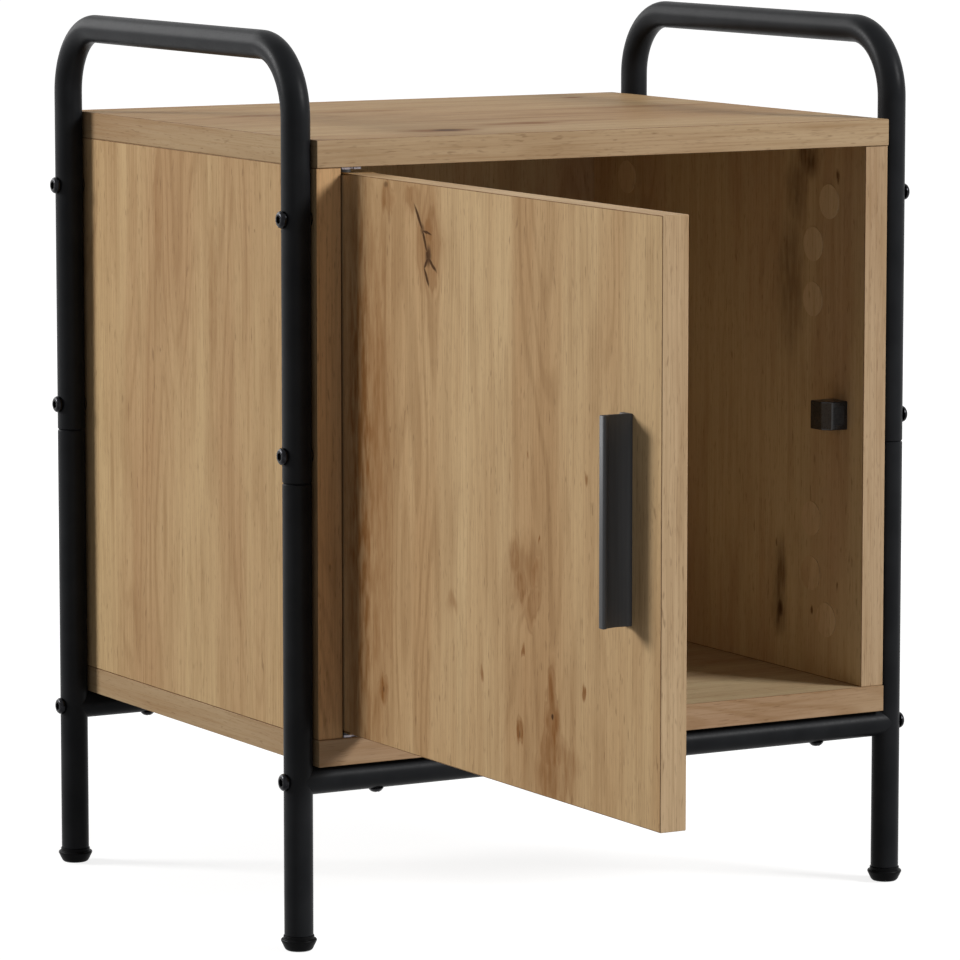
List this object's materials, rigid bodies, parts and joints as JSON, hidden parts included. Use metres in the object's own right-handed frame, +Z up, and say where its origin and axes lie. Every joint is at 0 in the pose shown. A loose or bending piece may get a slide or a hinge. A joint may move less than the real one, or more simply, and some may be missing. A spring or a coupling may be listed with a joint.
{
  "type": "nightstand",
  "caption": "Small oak-look cabinet with a side-hung door and magnetic catch, held in a black tube frame whose bows rise past the top as carrying handles.",
  "frame": {"origin": "on the floor, midway under the cabinet", "axes": "+X to the right, +Y to the rear, +Z up; the door is at the front and stands open by a quarter turn"},
  "size_m": [0.4056, 0.6325, 0.5],
  "materials": {
    "oak_laminate": "oak-print melamine on chipboard",
    "oak_film": "oak-print self-adhesive film",
    "beech": "raw turned beech",
    "black_powder_coat": "satin powder coat",
    "black_aluminium": "black anodised extrusion",
    "black_plastic": "moulded",
    "black_steel": "black zinc plated",
    "zinc_steel": "zinc plated, clear or yellow passivated",
    "nylon": "moulded",
    "ferrite": "pressed and ground"
  },
  "bodies": {
    "cabinet": {"top_panel": "oak_laminate", "bottom_panel": "oak_laminate", "left_side_panel": "oak_laminate", "right_side_panel": "oak_laminate", "back_panel": "oak_laminate", "cam_locks": "zinc_steel", "cam_dowels": "zinc_steel", "wood_dowels": "beech", "cover_discs": "oak_film", "back_nails": "zinc_steel", "left_bow": "black_powder_coat", "right_bow": "black_powder_coat", "left_front_leg": "black_powder_coat", "left_rear_leg": "black_powder_coat", "right_front_leg": "black_powder_coat", "right_rear_leg": "black_powder_coat", "left_front_foot": "black_plastic", "left_rear_foot": "black_plastic", "right_front_foot": "black_plastic", "right_rear_foot": "black_plastic", "front_cross_tube": "black_powder_coat", "rear_cross_tube": "black_powder_coat", "cross_tube_plugs": "black_plastic", "side_bolts": "black_steel", "leg_bolts": "black_steel", "panel_inserts": "zinc_steel", "cross_tube_screws": "black_steel", "catch_housing": "black_plastic", "catch_magnet": "ferrite", "upper_hinge_plate": "zinc_steel", "lower_hinge_plate": "zinc_steel", "hinge_pins": "zinc_steel", "hinge_washers": "nylon", "hinge_plate_screws": "zinc_steel"},
    "door": {"door_panel": "oak_laminate", "door_handle": "black_aluminium", "handle_screws": "zinc_steel", "upper_hinge_leaf": "zinc_steel", "lower_hinge_leaf": "zinc_steel", "hinge_leaf_screws": "zinc_steel", "strike_plate": "zinc_steel", "strike_screw": "zinc_steel"}
  },
  "joints": [
    {"name": "door_swing", "type": "hinge", "parent": "cabinet", "child": "door", "pos_m": [-0.165, -0.148, 0.272], "axis": [0, 0, 1], "range_deg": [-10, 90]}
  ]
}
